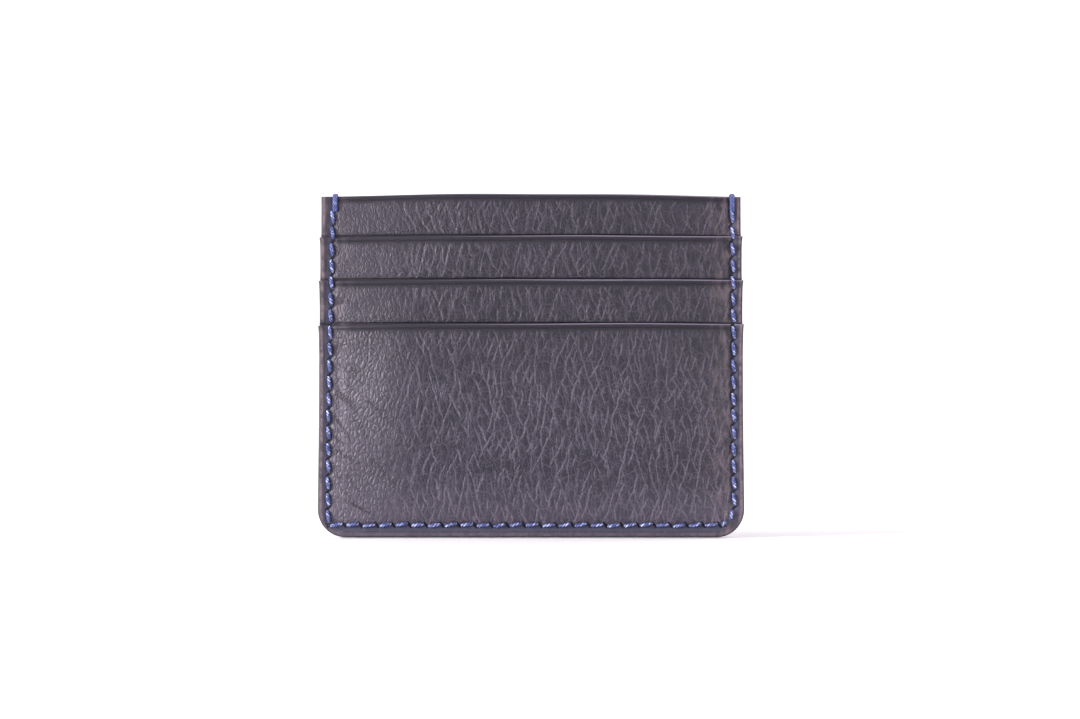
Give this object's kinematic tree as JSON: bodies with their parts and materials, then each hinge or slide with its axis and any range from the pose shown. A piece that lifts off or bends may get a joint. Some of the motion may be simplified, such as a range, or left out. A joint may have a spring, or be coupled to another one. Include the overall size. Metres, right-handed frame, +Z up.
{
  "type": "leather card holder",
  "caption": "Slim leather card holder with stepped card slots on both faces, a lined centre pocket open at the top, and saddle-stitched side and bottom edges.",
  "frame": {"origin": "middle of the bottom edge, on the plane between the two halves", "axes": "+X to the right across the width, +Z up to the open top edge, -Y out of the front face"},
  "size_m": [0.1, 0.0112, 0.0813],
  "materials": {
    "leather": "full-grain pebbled leather, slate violet-navy, semi-matt",
    "lining_cloth": "fine woven lining cloth, dark navy, matt",
    "thread": "waxed braided thread, navy blue, low sheen"
  },
  "bodies": {
    "root": {"front_lining": "lining_cloth", "front_body_panel": "leather", "front_top_pocket": "leather", "front_middle_pocket": "leather", "front_lower_pocket": "leather", "front_top_pocket_foot_seam": "thread", "front_middle_pocket_foot_seam": "thread", "back_lining": "lining_cloth", "back_body_panel": "leather", "back_top_pocket": "leather", "back_middle_pocket": "leather", "back_lower_pocket": "leather", "back_top_pocket_foot_seam": "thread", "back_middle_pocket_foot_seam": "thread", "perimeter_thread": "thread"}
  },
  "joints": []
}
